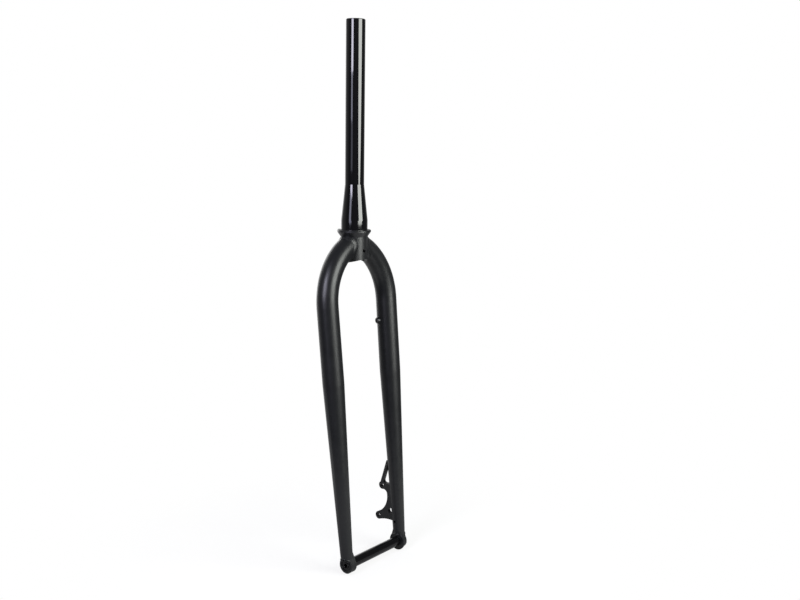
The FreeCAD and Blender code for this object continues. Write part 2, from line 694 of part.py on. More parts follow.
# The pieces that are written, with the name of each file.
NODES = {
    "steerer_tube": steerer,
    "left_leg": left_leg,
    "right_leg": right_leg,
    "left_dropout": left_dropout,
    "right_dropout": right_dropout,
    "disc_brake_tab": disc_brake_tab,
    "hose_guide_boss": hose_guide_boss,
    "thru_axle": axle,
    "crown_weld_left": crown_weld_left,
    "crown_weld_right": crown_weld_right,
}
for name, item in NODES.items():
    item.Label = name
doc.recompute()

for item in doc.Objects:
    bad = [word for word in item.State if word in ("Invalid", "Error")]
    if bad:
        raise RuntimeError("%s is %s" % (item.Name, ", ".join(bad)))
for name, item in NODES.items():
    shape = item.Shape
    if shape.isNull() or not shape.isValid() or len(shape.Solids) != 1:
        raise RuntimeError("%s isn't one sound solid" % name)
os.makedirs("parts", exist_ok=True)
for name, item in NODES.items():
    item.Shape.exportStep("parts/%s.step" % name)
    print("%s: %.1f mm3" % (name, item.Shape.Volume))
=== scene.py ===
"""Rigid mountain bike fork: paint, weld beads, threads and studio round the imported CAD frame."""
import json
import math
from types import SimpleNamespace

import bmesh
import bpy
import numpy as np
from bpy.props import FloatProperty, FloatVectorProperty, PointerProperty
from bpy.types import Operator, Panel, PropertyGroup
from mathutils import Matrix, Vector


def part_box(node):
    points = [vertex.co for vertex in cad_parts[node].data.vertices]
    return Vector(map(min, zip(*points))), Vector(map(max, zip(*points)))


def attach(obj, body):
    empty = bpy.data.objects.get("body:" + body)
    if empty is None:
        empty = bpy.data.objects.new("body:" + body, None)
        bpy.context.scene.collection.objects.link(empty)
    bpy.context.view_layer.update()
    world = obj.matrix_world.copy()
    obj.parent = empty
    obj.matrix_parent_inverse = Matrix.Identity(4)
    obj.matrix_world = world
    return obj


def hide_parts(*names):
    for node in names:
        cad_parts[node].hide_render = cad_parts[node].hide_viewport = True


bl_info = {
    "name": "Mountain bike fork",
    "version": (1, 0, 0),
    "blender": (4, 5, 0),
    "location": "View3D > Sidebar > Fork",
    "description": "Paints a rigid steel fork and adds its weld beads, threads and studio",
    "category": "Object",
}

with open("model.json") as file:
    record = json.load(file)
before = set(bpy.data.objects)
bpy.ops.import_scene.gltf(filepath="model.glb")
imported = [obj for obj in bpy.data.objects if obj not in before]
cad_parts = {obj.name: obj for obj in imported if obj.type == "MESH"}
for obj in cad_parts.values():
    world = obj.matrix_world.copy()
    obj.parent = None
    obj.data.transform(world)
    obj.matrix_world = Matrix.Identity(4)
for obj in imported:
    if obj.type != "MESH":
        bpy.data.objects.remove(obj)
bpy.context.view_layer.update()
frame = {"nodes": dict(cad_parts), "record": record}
MM = 0.001
TURN = 2.0 * math.pi

# Places that the CAD frame gives, in millimetres: the axle, the brake plate's two faces and the mouth
# of the hose guide's hole. The floor is in metres.
AXLE_LOW, AXLE_HIGH = [np.array(corner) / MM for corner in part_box("thru_axle")]
AXLE_Y = (AXLE_LOW[1] + AXLE_HIGH[1]) / 2
AXLE_Z = (AXLE_LOW[2] + AXLE_HIGH[2]) / 2
AXLE_MIDDLE = np.array([0.0, AXLE_Y, AXLE_Z])
ACROSS = np.array([1.0, 0.0, 0.0])
PLATE_FACES = [corner[0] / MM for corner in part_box("disc_brake_tab")]
HOSE_HOLE = next(mount for mount in frame["record"]["mounts"] if mount["name"] == "hose_guide_hole")
FLOOR_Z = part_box("left_dropout")[0][2]

# How finely the pieces are drawn: angles round a turned piece, and halvings that find where tubes meet.
TURNED_SIDES = 96
HALVINGS = 44

# The studio, in metres, watts and sRGB colours. Each lamp has its outline, its x and y, its lower and
# upper edge, its width, its power and its colour. The strips that lie under the large side lamp and the
# large front lamp make the stripes on the steerer fade and end.
FLOOR_HALF = 0.45
WALL_WAY = (0.377, 0.926, 0.0)
LAMPS = {
    "side_light": ("RECTANGLE", (-2.0, -0.25), (0.365, 1.63), 0.8, 45.0, "#e9e7fa"),
    "mid_side_light": ("RECTANGLE", (-2.0, -0.17), (0.2, 0.365), 0.6, 1.35, "#e0e2fb"),
    "low_side_light": ("RECTANGLE", (-2.0, -0.25), (0.03, 0.2), 0.7, 0.45, "#e0e2fb"),
    "seat_side_light": ("RECTANGLE", (-2.0, -0.25), (-0.15, -0.09), 0.7, 0.62, "#e0e2fb"),
    "front_light": ("ELLIPSE", (0.36, -2.0), (-0.08, 1.48), 1.6, 70.0, "#f2f5f0"),
    "seat_front_light": ("RECTANGLE", (0.1, -2.0), (-0.155, -0.089), 1.4, 3.0, "#f2f5f0"),
    "low_front_light": ("RECTANGLE", (0.05, -2.0), (-0.38, -0.2), 1.9, 1.75, "#f2f5f0"),
    "back_light": ("RECTANGLE", (0.75, 1.85), (-0.5, 1.1), 1.8, 16.0, "#ffffff"),
}
SENSOR_WIDTH = 36.0


def linear(code):
    """Linear colour of an sRGB hex value."""
    parts = np.array([int(code[i:i + 2], 16) for i in (1, 3, 5)]) / 255.0
    low = parts / 12.92
    high = ((parts + 0.055) / 1.055) ** 2.4
    return tuple(np.where(parts <= 0.04045, low, high))


def length(name, about, default):
    """A size in metres whose default is given in millimetres."""
    return FloatProperty(name=name, description=about, default=default * MM, unit="LENGTH", precision=5)


def colour(name, about, code):
    """A colour whose default is given as an sRGB hex value."""
    return FloatVectorProperty(name=name, description=about, default=linear(code), subtype="COLOR",
                               min=0, max=1)


def angle(name, about, default):
    """An angle whose default is given in degrees."""
    return FloatProperty(name=name, description=about, default=math.radians(default), subtype="ANGLE")


class ForkSizes(PropertyGroup):
    """Sizes of the tubes that the beads follow, and of the beads, the axle and the threads."""
    leg_radius: length("Leg radius", "Outside radius of a leg at its bend", 15.9)
    tip_radius: length("Tip radius", "Outside radius of a leg at the axle", 8.75)
    plain_length: length("Plain length", "Length of a leg below its bend before it tapers", 112.0)
    bend_radius: length("Bend radius", "Radius of a leg's centre line in its bend", 92.0)
    half_spread: length("Half spread", "Distance from the middle to a leg below its bend", 66.7)
    half_spread_axle: length("Half spread at axle", "Distance from the middle to a leg at the axle", 62.3)
    root_drop: length("Root drop", "Depth under the race seat where the lines of the legs meet", 19.8)
    crown_radius: length("Crown radius", "Outside radius of the crown tube", 20.0)
    cone_top: length("Cone top", "Depth of the top of the flange's conical underside", 3.0)
    cone_drop: length("Cone drop", "Height of that cone", 7.0)
    cone_reach: length("Cone reach", "How far that cone stands out", 5.0)
    eye_radius: length("Eye radius", "Outside radius of a dropout's eye", 12.0)
    foot_up: length("Foot height", "Height of the brake plate's foot over the axle", 32.0)
    relief_up: length("Relief height", "Height of the round relief in the plate over the axle", 46.0)
    relief_half: length("Relief half", "Half of the plate's edge that the relief takes away", 4.6)
    sill_up: length("Sill height", "Height of the plate's window over the axle", 88.0)
    boss_radius: length("Boss radius", "Outside radius of the hose guide boss", 4.8)
    crown_bead: length("Crown bead", "Leg length of the weld bead between a leg and the crown", 2.9)
    eye_bead: length("Eye bead", "Leg length of the weld bead between a leg and its eye", 1.0)
    plate_bead: length("Plate bead", "Leg length of the weld beads along the brake plate", 1.3)
    boss_bead: length("Boss bead", "Leg length of the braze round the hose guide boss", 0.9)
    ripple: length("Ripple", "Spacing of the ripples along a crown bead", 2.4)
    head_radius: length("Head radius", "Outside radius of the axle's head", 8.7)
    head_height: length("Head height", "Height of the axle's head", 3.8)
    shank_radius: length("Shank radius", "Outside radius of the axle", 7.5)
    bore_radius: length("Bore radius", "Radius of the axle's bore", 4.5)
    socket_across: length("Socket across", "Width of the axle's hexagon socket", 6.0)
    socket_depth: length("Socket depth", "Depth of that socket", 9.0)
    ring_inner: length("Ring inner", "Inner radius of the sunk ring in the face of the axle's head", 5.0)
    ring_outer: length("Ring outer", "Outer radius of that ring", 7.3)
    ring_depth: length("Ring depth", "Depth of that ring", 0.9)
    edge_break: length("Edge break", "Size of the small chamfers on the axle", 0.8)
    thread_length: length("Thread length", "Length of the thread at the axle's left end", 10.5)
    thread_pitch: length("Thread pitch", "Pitch of that thread", 1.5)
    thread_depth: length("Thread depth", "Depth of that thread", 0.85)
    hose_pitch: length("Hose pitch", "Pitch of the hose guide's thread", 0.8)


class ForkColours(PropertyGroup):
    """Colours of the finishes."""
    satin: colour("Satin black", "Powder coat of the legs and crown", "#151618")
    gloss: colour("Gloss black", "Enamel of the steerer", "#0b0b0d")
    anodised: colour("Anodised black", "Dyed skin of the axle", "#101012")
    floor: colour("Floor", "Paper of the studio floor", "#fdfdfd")


class ForkCamera(PropertyGroup):
    """The photograph's viewpoint."""
    azimuth: angle("Azimuth", "Turn of the camera about the steering axis", -52.1527)
    elevation: angle("Elevation", "Height of the camera as an angle", 8.9472)
    roll: angle("Roll", "Tilt of the picture", 0.8329)
    distance: length("Distance", "From the camera to the point that it looks at", 1477.634)
    aside: length("Aside", "That point's place to the right of the steering axis", 69.155)
    drop: length("Drop", "That point's depth under the race seat", 104.11)
    lens: FloatProperty(name="Lens", description="Focal length on a sensor 36 mm wide", default=44.6955,
                        subtype="DISTANCE_CAMERA")


def in_millimetres(sizes):
    """The fork's sizes as plain numbers in millimetres."""
    return SimpleNamespace(**{key: getattr(sizes, key) / MM for key in ForkSizes.__annotations__})


def add_node(tree, kind, inputs=(), **settings):
    """Adds a node, sets what it is told, and fills or links its inputs."""
    node = tree.nodes.new(kind)
    for key, value in settings.items():
        setattr(node, key, value)
    for key, value in dict(inputs).items():
        if isinstance(value, bpy.types.NodeSocket):
            tree.links.new(value, node.inputs[key])
        else:
            node.inputs[key].default_value = value
    return node


def new_material(name):
    """Empty material, its node tree, and the object coordinates that its patterns read."""
    material = bpy.data.materials.new(name)
    material.use_nodes = True
    tree = material.node_tree
    tree.nodes.clear()
    place = add_node(tree, "ShaderNodeTexCoord").outputs["Object"]
    return material, tree, place


def close_material(tree, shader):
    """Links a material's last shader to its output."""
    add_node(tree, "ShaderNodeOutputMaterial", {"Surface": shader})


def shade(value, factor=1.0):
    """A colour with its alpha, made darker or lighter by a factor."""
    return tuple(min(1.0, part * factor) for part in value) + (1.0,)


def powder_layer(tree, place, tone):
    """Satin powder coat: colour, roughness and bump sockets.

    Baked powder flows into a fine orange peel about 1 mm across, drawn at 1.6 mm to show in the render.
    It gives a soft broad highlight that is slightly mottled.
    """
    mottle_width = 18.0 * MM
    peel_width = 1.6 * MM
    peel_height = 0.3 * MM
    cloud = add_node(tree, "ShaderNodeTexNoise", {"Vector": place, "Scale": 1 / mottle_width,
                                                  "Detail": 3.0})
    peel = add_node(tree, "ShaderNodeTexNoise", {"Vector": place, "Scale": 1 / peel_width, "Detail": 2.0})
    tint = add_node(tree, "ShaderNodeMix", {"Factor": cloud.outputs["Fac"], "A": shade(tone, 0.88),
                                            "B": shade(tone, 1.14)}, data_type="RGBA")
    rough = add_node(tree, "ShaderNodeMapRange", {"Value": cloud.outputs["Fac"], "From Min": 0.3,
                                                  "From Max": 0.7, "To Min": 0.32, "To Max": 0.38})
    bump = add_node(tree, "ShaderNodeBump", {"Height": peel.outputs["Fac"], "Strength": 0.12,
                                             "Distance": peel_height})
    return tint.outputs["Result"], rough.outputs["Result"], bump.outputs["Normal"]


def powder_coat(name, tone):
    """Satin black powder coat on steel tube."""
    material, tree, place = new_material(name)
    tint, rough, bump = powder_layer(tree, place, tone)
    shader = add_node(tree, "ShaderNodeBsdfPrincipled", {
        "Base Color": tint, "Roughness": rough, "Normal": bump, "IOR": 1.5, "Specular IOR Level": 0.42})
    close_material(tree, shader.outputs["BSDF"])
    return material


def masked_enamel(name, satin, gloss):
    """Gloss black enamel above the race seat's flange, satin powder coat from the flange down.

    The enamel is stoved smooth, so it mirrors the studio in sharp upright stripes with hardly any peel.
    """
    mask_height = 0.3 * MM
    flow_width = 12.0 * MM
    flow_height = 0.3 * MM
    material, tree, place = new_material(name)
    tint, rough, bump = powder_layer(tree, place, satin)
    height = add_node(tree, "ShaderNodeSeparateXYZ", {"Vector": place}).outputs["Z"]
    above = add_node(tree, "ShaderNodeMath", {0: height, 1: mask_height}, operation="GREATER_THAN")
    above = above.outputs["Value"]
    flow = add_node(tree, "ShaderNodeTexNoise", {"Vector": place, "Scale": 1 / flow_width, "Detail": 1.0})
    smooth = add_node(tree, "ShaderNodeBump", {"Height": flow.outputs["Fac"], "Strength": 0.008,
                                               "Distance": flow_height})
    sheen = add_node(tree, "ShaderNodeMapRange", {"Value": flow.outputs["Fac"], "To Min": 0.03,
                                                  "To Max": 0.05})
    base = add_node(tree, "ShaderNodeMix", {"Factor": above, "A": tint, "B": shade(gloss)},
                    data_type="RGBA")
    polish = add_node(tree, "ShaderNodeMix", {"Factor": above, 2: rough, 3: sheen.outputs["Result"]},
                      data_type="FLOAT")
    normal = add_node(tree, "ShaderNodeMix", {"Factor": above, 4: bump, 5: smooth.outputs["Normal"]},
                      data_type="VECTOR")
    shader = add_node(tree, "ShaderNodeBsdfPrincipled", {
        "Base Color": base.outputs["Result"], "Roughness": polish.outputs[0], "Normal": normal.outputs[1],
        "IOR": 1.57, "Specular IOR Level": 0.5})
    close_material(tree, shader.outputs["BSDF"])
    return material


def anodised_black(name, tone):
    """Black anodised aluminium, turned on a lathe.

    Fine rings lie round the axle's own line, drawn 0.7 mm apart to show. They give a dark, slightly
    streaked metal sheen along the axle.
    """
    ring_spacing = 0.7 * MM
    ring_height = 0.1 * MM
    wave_length = TURN / 20  # of the wave node's bands at a scale of 1
    material, tree, place = new_material(name)
    rings = add_node(tree, "ShaderNodeTexWave", {"Vector": place, "Scale": wave_length / ring_spacing,
                                                 "Distortion": 0.6, "Detail": 1.0}, bands_direction="X")
    rough = add_node(tree, "ShaderNodeMapRange", {"Value": rings.outputs["Fac"], "To Min": 0.12,
                                                  "To Max": 0.17})
    bump = add_node(tree, "ShaderNodeBump", {"Height": rings.outputs["Fac"], "Strength": 0.04,
                                             "Distance": ring_height})
    tint = add_node(tree, "ShaderNodeMix", {"Factor": rings.outputs["Fac"], "A": shade(tone, 0.9),
                                            "B": shade(tone, 1.1)}, data_type="RGBA")
    shader = add_node(tree, "ShaderNodeBsdfPrincipled", {
        "Base Color": tint.outputs["Result"], "Roughness": rough.outputs["Result"],
        "Normal": bump.outputs["Normal"], "Metallic": 0.35})
    close_material(tree, shader.outputs["BSDF"])
    return material


def grid_object(name, points, closed=True):
    """Mesh of a grid of points in millimetres, closed round its second way.

    The first way runs along the piece. It is closed round too, or ends in rows whose points have come
    together as a pole. Points at one place are merged, and edges sharper than 35 degrees are kept crisp.
    """
    merge_distance = 0.0001 * MM
    crisp_angle = math.radians(35.0)
    rows, columns = points.shape[:2]
    i, j = np.meshgrid(np.arange(rows if closed else rows - 1), np.arange(columns), indexing="ij")
    after_i = (i + 1) % rows
    after_j = (j + 1) % columns
    quads = np.stack([i * columns + j, after_i * columns + j, after_i * columns + after_j,
                      i * columns + after_j], axis=-1)
    mesh = bpy.data.meshes.new(name)
    mesh.from_pydata((points.reshape(-1, 3) * MM).tolist(), [], quads.reshape(-1, 4).tolist())
    whole = bmesh.new()
    whole.from_mesh(mesh)
    bmesh.ops.remove_doubles(whole, verts=whole.verts, dist=merge_distance)
    bmesh.ops.recalc_face_normals(whole, faces=whole.faces)
    whole.to_mesh(mesh)
    whole.free()
    mesh.polygons.foreach_set("use_smooth", np.ones(len(mesh.polygons), dtype=bool))
    mesh.set_sharp_from_angle(angle=crisp_angle)
    mesh.update()
    piece = bpy.data.objects.new(name, mesh)
    bpy.context.scene.collection.objects.link(piece)
    return piece


def add_piece(name, points, body, material, closed=True):
    """A new piece of the fork: its mesh, its finish, and the body that it rides on."""
    piece = grid_object(name, points, closed)
    piece.data.materials.append(bpy.data.materials[material])
    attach(piece, body)
    return piece


def add_painted(name, points, closed=True):
    """A new piece that is painted with the fork and rides on it."""
    return add_piece(name, points, "fork", "satin_powder_coat", closed)


def unit(vectors):
    """Vectors brought to a length of 1."""
    return vectors / np.linalg.norm(vectors, axis=-1, keepdims=True)


def round_angles(count):
    """Angles at equal steps once round."""
    return np.linspace(0.0, TURN, count, endpoint=False)


class Leg:
    """Centre line and skin of one leg, in millimetres: a bend above, and a straight part that tapers."""

    def __init__(self, sizes, side):
        """Both legs lie in one plane, which leans from the root to the axle.

        A bend of one radius leads out from about the root, and the straight part toes in to the axle.
        """
        drop = -AXLE_Z - sizes.root_drop
        lean = math.atan2(-AXLE_Y, drop)
        reach = math.hypot(AXLE_Y, drop)
        self.bend = sizes.bend_radius
        self.radius = sizes.leg_radius
        self.plain = sizes.plain_length
        self.turn = math.acos(1 - sizes.half_spread / self.bend)
        rise = self.bend * math.sin(self.turn)
        toe = math.atan2(sizes.half_spread - sizes.half_spread_axle, reach - rise)
        self.length = (reach - rise) / math.cos(toe)
        self.fall = (self.radius - sizes.tip_radius) / (self.length - self.plain)
        up = np.array([0.0, math.sin(lean), math.cos(lean)])
        aside = ACROSS * side
        self.foot = aside * sizes.half_spread - up * rise - np.array([0.0, 0.0, sizes.root_drop])
        self.out = aside * math.cos(toe) - up * math.sin(toe)
        self.up = aside * math.sin(toe) + up * math.cos(toe)
        self.back = np.array([0.0, math.cos(lean), -math.sin(lean)])

    def bend_skin(self, turn, around):
        """Point and outward normal on the bend: a circle carried round the bend's own circle."""
        ray = np.cos(turn)[..., None] * self.out + np.sin(turn)[..., None] * self.up
        normal = np.cos(around)[..., None] * ray + np.sin(around)[..., None] * self.back
        middle = self.foot - self.out * self.bend + ray * self.bend
        return middle + normal * self.radius, normal

    def shaft_radius(self, down):
        """Radius at a distance down the straight part, which tapers to its tip."""
        return self.radius - self.fall * np.maximum(0.0, down - self.plain)

    def shaft_skin(self, down, around):
        """Point and outward normal at a distance down the straight part.

        The point is on a circle about the part's line, and the normal is tilted down by the taper's slope.
        """
        spoke = np.cos(around)[..., None] * self.out + np.sin(around)[..., None] * self.back
        slope = np.where(down > self.plain, self.fall, 0.0)[..., None]
        middle = self.foot - self.up * down[..., None]
        return middle + spoke * self.shaft_radius(down)[..., None], unit(spoke - slope * self.up)

    def off_line(self, points):
        """How far and which way points lie from the line of the straight part, square to it."""
        spot = points - self.foot
        return spot - np.sum(spot * self.up, axis=1, keepdims=True) * self.up


def halve(count, low, high, beyond):
    """Where a test changes between two values, on many lines at once; beyond is true on the high side."""
    low = np.full(count, low)
    high = np.full(count, high)
    for _ in range(HALVINGS):
        middle = (low + high) / 2
        past = beyond(middle)
        low = np.where(past, low, middle)
        high = np.where(past, middle, high)
    return (low + high) / 2


def even_steps(points, count, closed):
    """Places along a line of points at equal lengths, as fractions of its own index, and its length."""
    line = np.vstack([points, points[:1]]) if closed else points
    run = np.concatenate([[0.0], np.cumsum(np.linalg.norm(np.diff(line, axis=0), axis=1))])
    spots = np.linspace(0.0, run[-1], count, endpoint=not closed)
    return np.interp(spots, run, np.arange(len(line))), run[-1]


def at_steps(values, steps, closed):
    """Values of a line read between its points."""
    line = np.vstack([values, values[:1]]) if closed else values
    index = np.arange(len(line))
    return np.stack([np.interp(steps, index, line[:, k]) for k in range(line.shape[1])], axis=1)


def toe_line(line, ahead, surface, facing, reach, sink):
    """Toe of a bead: out along one surface, to the side that the other surface faces, and sunk a little."""
    along = np.cross(ahead, surface)
    along = along * np.sign(np.sum(along * facing, axis=1, keepdims=True))
    return (line + along * reach - surface * sink)[:, None, :]


def weld_bead(path, one, other, leg, ripple, closed=True, toes=(1.0, 1.0), crest=0.34):
    """Weld bead: a three-cornered section with a domed face, carried along the corner of two surfaces.

    A toe lies on each surface at its share of the bead's leg length, sunk a little, and the face
    bulges between the toes as a parabola. The back of the section is a curve pulled into the corner.
    The face rises once per ripple, and each ripple is a crescent, because it lags behind by the square
    of the distance from the middle of the face. An open bead shrinks to a pole at each end.
    """
    # Points along each ripple, the fewest along a bead, and points across the face and the back.
    ripple_points = 9
    fewest_points = 24
    face_points = 10
    back_points = 5
    # Shares of the leg length: the depth of a toe and of the root, a ripple's height and a pole's length.
    sink = 0.16
    root_sink = 0.2
    swell = 0.09
    pole = 1.6
    # The share of a ripple's spacing that its sides lag behind, and the power with which it rises.
    lag = 0.45
    rise = 1.6
    open_length = np.linalg.norm(np.diff(path, axis=0), axis=1).sum()
    count = max(fewest_points, int(open_length / ripple * ripple_points))
    steps, total = even_steps(path, count, closed)
    line = at_steps(path, steps, closed)
    one = unit(at_steps(one, steps, closed))
    other = unit(at_steps(other, steps, closed))
    if closed:
        ahead = unit(np.roll(line, -1, axis=0) - np.roll(line, 1, axis=0))
    else:
        ahead = unit(np.gradient(line, axis=0))
    size = np.full((count, 1), leg)
    if not closed:
        ends = np.minimum(np.arange(count), np.arange(count)[::-1]) * total / (count - 1)
        near = np.clip(ends / (pole * leg), 0.0, 1.0)[:, None]
        size = size * np.sqrt(near * (2.0 - near))
    lift = unit(one + other) * size
    first = toe_line(line, ahead, one, other, size * toes[0], size * sink)
    last = toe_line(line, ahead, other, one, size * toes[1], size * sink)
    across = np.linspace(0.0, 1.0, face_points)[None, :, None]
    run = np.linspace(0.0, max(1, round(total / ripple)), count, endpoint=not closed)[:, None, None]
    phase = run - lag * (2.0 * across - 1.0) ** 2
    ridge = (phase - np.floor(phase)) ** rise
    dome = 4.0 * across * (1.0 - across) * (crest + swell * ridge)
    face = first * (1.0 - across) + last * across + dome * lift[:, None, :]
    back = np.linspace(0.0, 1.0, back_points)[None, 1:-1, None]
    root = (line - lift * root_sink)[:, None, :]
    rear = last * (1.0 - back) ** 2 + root * 2.0 * back * (1.0 - back) + first * back ** 2
    return np.concatenate([face, rear], axis=1)


def groove(along, around, pitch):
    """Depth of a thread from 0 at its crest to 1 at its root: flat-topped V grooves along a helix.

    A wave with straight flanks runs along the helix, is stretched, and is cut off at the crest and root.
    """
    stretch = 1.3
    turn = along / pitch - around / TURN
    saw = np.abs(2.0 * (turn - np.floor(turn)) - 1.0)
    return np.clip(stretch * saw - (stretch - 1.0) / 2, 0.0, 1.0)


def about_line(origin, axis, along, radius, around):
    """Points at a distance along a line and a radius about it, on the grid of along and around."""
    axis = unit(np.array(axis, dtype=float))
    aside = unit(np.cross(axis, np.array([0.0, 0.0, 1.0])))
    spoke = np.cos(around)[..., None] * aside + np.sin(around)[..., None] * np.cross(axis, aside)
    return origin + axis * along[..., None] + spoke * radius[..., None]


def threaded_sleeve(origin, axis, low, high, radius, depth, pitch):
    """Thread inside a hole: a thin sleeve whose inner side stands in from the hole's wall along a helix.

    In a hole a little wider than a rod with the same thread, its ridges lie in the rod's grooves and
    stay clear of them.
    """
    pitch_points = 14
    stand = 0.01
    wall = 0.03
    rows = np.arange(low, high, pitch / pitch_points)
    along = np.concatenate([rows, rows[::-1]])
    along, around = np.meshgrid(along, round_angles(TURNED_SIDES), indexing="ij")
    inner = (np.arange(len(along)) < len(rows))[:, None]
    ends = np.clip(np.minimum(along - low, high - along) / pitch, 0.0, 1.0)
    ridge = depth * groove(along, around, pitch) * ends
    size = np.where(inner, radius - stand - ridge, radius + wall)
    return about_line(origin, axis, along, size, around)


class FORK_OT_finishes(Operator):
    """Makes the finishes and puts them on the tubes, dropouts, plate, boss and axle"""
    bl_idname = "fork.finishes"
    bl_label = "Finishes"

    def execute(self, context):
        colours = context.scene.fork_colours
        satin = powder_coat("satin_powder_coat", colours.satin)
        enamel = masked_enamel("gloss_enamel_over_powder_coat", colours.satin, colours.gloss)
        anodised = anodised_black("black_anodised_aluminium", colours.anodised)
        special = {"steerer_tube": enamel, "thru_axle": anodised}
        for node, piece in frame["nodes"].items():
            piece.data.materials.clear()
            piece.data.materials.append(special.get(node, satin))
        return {"FINISHED"}


class FORK_OT_crown_beads(Operator):
    """Lays a rippled weld bead round each leg where it is mitred onto the crown tube"""
    bl_idname = "fork.crown_beads"
    bl_label = "Crown weld beads"

    def execute(self, context):
        sizes = in_millimetres(context.scene.fork_sizes)
        around = round_angles(240)
        first_turn = 0.3
        turn_past_middle = 0.15
        for side, node in ((1, "crown_weld_left"), (-1, "crown_weld_right")):
            leg = Leg(sizes, side)

            def inside(turn):
                """True where the leg's skin is inside the crown tube or the cone under the flange."""
                spot = leg.bend_skin(turn, around)[0]
                cone = (spot[:, 2] + sizes.cone_top + sizes.cone_drop) / sizes.cone_drop
                limit = sizes.crown_radius + sizes.cone_reach * np.clip(cone, 0.0, 1.0)
                return np.hypot(spot[:, 0], spot[:, 1]) < limit

            turn = halve(len(around), first_turn, leg.turn + turn_past_middle, inside)
            path, normal = leg.bend_skin(turn, around)
            radial = unit(path * np.array([1.0, 1.0, 0.0]))
            # The bead is flat, and reaches further along the leg than along the crown tube.
            points = weld_bead(path, radial, normal, sizes.crown_bead, sizes.ripple, toes=(0.7, 2.2),
                               crest=0.18)
            bead = add_painted(node + "_bead", points)
            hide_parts(node)
        return {"FINISHED"}


class FORK_OT_eye_beads(Operator):
    """Lays a fine weld bead between the coped end of each leg and its dropout's eye"""
    bl_idname = "fork.eye_beads"
    bl_label = "Dropout weld beads"

    def execute(self, context):
        sizes = in_millimetres(context.scene.fork_sizes)
        around = round_angles(200)
        search_length = 60.0
        ripple = sizes.ripple * 0.7
        for side, name in ((1, "left_eye_bead"), (-1, "right_eye_bead")):
            leg = Leg(sizes, side)

            def inside(down):
                """True where the leg's skin is inside the dropout's eye."""
                spot = leg.shaft_skin(down, around)[0]
                return np.hypot(spot[:, 1] - AXLE_Y, spot[:, 2] - AXLE_Z) < sizes.eye_radius

            down = halve(len(around), leg.length - search_length, leg.length, inside)
            path, normal = leg.shaft_skin(down, around)
            radial = unit((path - AXLE_MIDDLE) * np.array([0.0, 1.0, 1.0]))
            add_painted(name, weld_bead(path, radial, normal, sizes.eye_bead, ripple))
        return {"FINISHED"}


class FORK_OT_plate_beads(Operator):
    """Lays the weld beads along both faces of the brake plate, where it meets the left leg"""
    bl_idname = "fork.plate_beads"
    bl_label = "Brake plate weld beads"

    def execute(self, context):
        sizes = in_millimetres(context.scene.fork_sizes)
        leg = Leg(sizes, 1)
        points_along = 60
        ripple = sizes.ripple * 0.8
        stretches = {"low": (sizes.foot_up, sizes.relief_up - sizes.relief_half),
                     "high": (sizes.relief_up + sizes.relief_half, sizes.sill_up)}
        for face, away, side in ((PLATE_FACES[0], -1.0, "inner"), (PLATE_FACES[1], 1.0, "outer")):
            for level, (lowest, highest) in stretches.items():
                up = np.linspace(lowest, highest, points_along)
                down = (leg.foot[2] - AXLE_Z - up) / leg.up[2]
                radius = leg.shaft_radius(down)
                # The face cuts the leg's round section at the angle that has this cosine.
                across = (face - leg.foot[0] + leg.up[0] * down) / (radius * leg.out[0])
                path, normal = leg.shaft_skin(down, np.arccos(across))
                flat = np.broadcast_to(ACROSS * away, path.shape)
                points = weld_bead(path, flat, normal, sizes.plate_bead, ripple, closed=False)
                add_painted("plate_bead_%s_%s" % (side, level), points, closed=False)
        return {"FINISHED"}


class FORK_OT_boss_braze(Operator):
    """Runs a thin fillet of braze round the hose guide boss, and cuts the thread in its hole"""
    bl_idname = "fork.boss_braze"
    bl_label = "Hose guide braze and thread"

    def execute(self, context):
        sizes = in_millimetres(context.scene.fork_sizes)
        leg = Leg(sizes, 1)
        mouth = np.array(HOSE_HOLE["pos_m"]) / MM
        axis = unit(np.array(HOSE_HOLE["axis"]))
        around = round_angles(120)
        radius = np.full_like(around, sizes.boss_radius)
        search_depth = 12.0

        def inside(depth):
            """True where the boss's side is inside the leg."""
            spot = about_line(mouth, axis, -depth, radius, around)
            return np.linalg.norm(leg.off_line(spot), axis=1) < leg.radius

        depth = halve(len(around), 0.0, search_depth, inside)
        path = about_line(mouth, axis, -depth, radius, around)
        normal = unit(leg.off_line(path))
        radial = unit(about_line(np.zeros(3), axis, np.zeros_like(around), radius, around))
        points = weld_bead(path, radial, normal, sizes.boss_bead, sizes.ripple)
        add_painted("hose_guide_braze", points)
        hole = HOSE_HOLE["dims"]
        end_gap = 0.5
        thread_depth = 0.16 * sizes.hose_pitch
        points = threaded_sleeve(mouth, axis, -hole["length_mm"] + end_gap, -end_gap, hole["r_mm"],
                                 thread_depth, sizes.hose_pitch)
        add_painted("hose_guide_thread", points)
        return {"FINISHED"}


